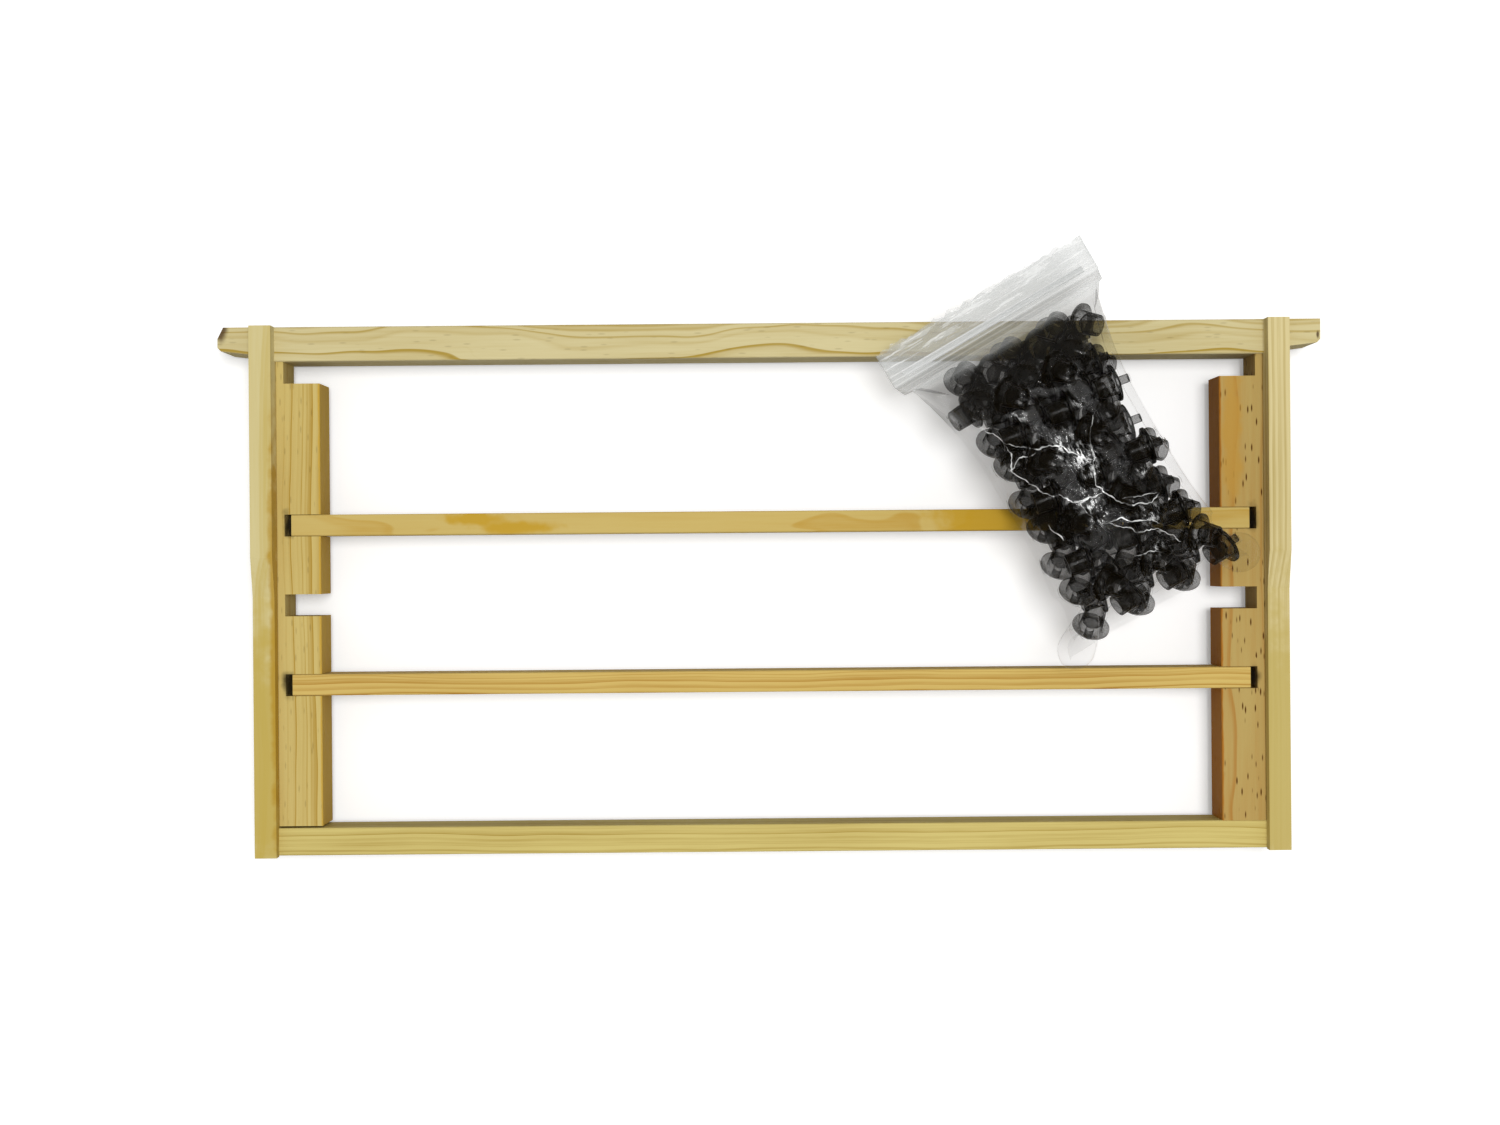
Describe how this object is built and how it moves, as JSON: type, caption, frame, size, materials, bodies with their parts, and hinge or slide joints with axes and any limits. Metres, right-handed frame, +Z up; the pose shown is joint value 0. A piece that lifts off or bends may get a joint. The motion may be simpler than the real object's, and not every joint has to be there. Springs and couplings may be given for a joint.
{
  "type": "queen rearing frame",
  "caption": "Wooden full-depth hive frame for queen rearing, with removable cell bars in slotted side blocks and a zip bag of smoke-grey plastic cell cups lying on it.",
  "frame": {"origin": "middle of the object's footprint, bag included, on the surface that the frame lies on", "axes": "+X along the top bar to the right, +Y from the bottom bar to the top bar, +Z up off the table"},
  "size_m": [0.4826, 0.267, 0.0793],
  "materials": {
    "frame_pine": "planed, bare",
    "left_block_pine": "planed, bare, straight grain",
    "right_block_pine": "planed, bare, resin flecks",
    "cell_bar_pine": "planed, bare",
    "nail_steel": "bright wire",
    "bag_film": "clear, crinkled",
    "zip_strip": "clear",
    "cup_smoke": "smoke-grey, see-through"
  },
  "bodies": {
    "frame": {"top_bar": "frame_pine", "left_end_bar": "frame_pine", "right_end_bar": "frame_pine", "bottom_bar": "frame_pine", "left_slot_block": "left_block_pine", "right_slot_block": "right_block_pine", "bottom_bar_nails": "nail_steel", "left_block_nails": "nail_steel", "right_block_nails": "nail_steel", "top_bar_nails": "nail_steel"},
    "upper_bar": {"upper_cell_bar": "cell_bar_pine"},
    "lower_bar": {"lower_cell_bar": "cell_bar_pine"},
    "cup_bag": {"bag_front_film": "bag_film", "bag_back_film": "bag_film", "zip_rib_strip": "zip_strip", "zip_groove_strip": "zip_strip", "cell_cups_layer1_row2": "cup_smoke", "cell_cups_layer1_row3": "cup_smoke", "cell_cups_layer1_row4": "cup_smoke", "cell_cups_layer2_row1": "cup_smoke", "cell_cups_layer2_row2": "cup_smoke", "cell_cups_layer2_row3": "cup_smoke", "cell_cups_layer2_row4": "cup_smoke", "cell_cups_layer3_row2": "cup_smoke", "cell_cups_layer3_row3": "cup_smoke", "cell_cups_layer3_row4": "cup_smoke", "cell_cups_layer4_row2": "cup_smoke", "cell_cups_layer4_row3": "cup_smoke", "cell_cups_layer4_row4": "cup_smoke", "cell_cups_layer5_row2": "cup_smoke", "cell_cups_layer5_row3": "cup_smoke", "cell_cups_layer5_row4": "cup_smoke", "cell_cups_layer6_row2": "cup_smoke", "cell_cups_layer6_row3": "cup_smoke", "cell_cups_layer6_row4": "cup_smoke"}
  },
  "joints": [
    {"name": "upper_bar_slide", "type": "slide", "parent": "frame", "child": "upper_bar", "axis": [0, 0, 1], "range_m": [-0.025, 0]},
    {"name": "lower_bar_slide", "type": "slide", "parent": "frame", "child": "lower_bar", "axis": [0, 0, 1], "range_m": [-0.025, 0.025]},
    {"name": "bag_lift", "type": "slide", "parent": "frame", "child": "cup_bag", "axis": [0, 0, 1], "range_m": [0, 0.15]}
  ]
}
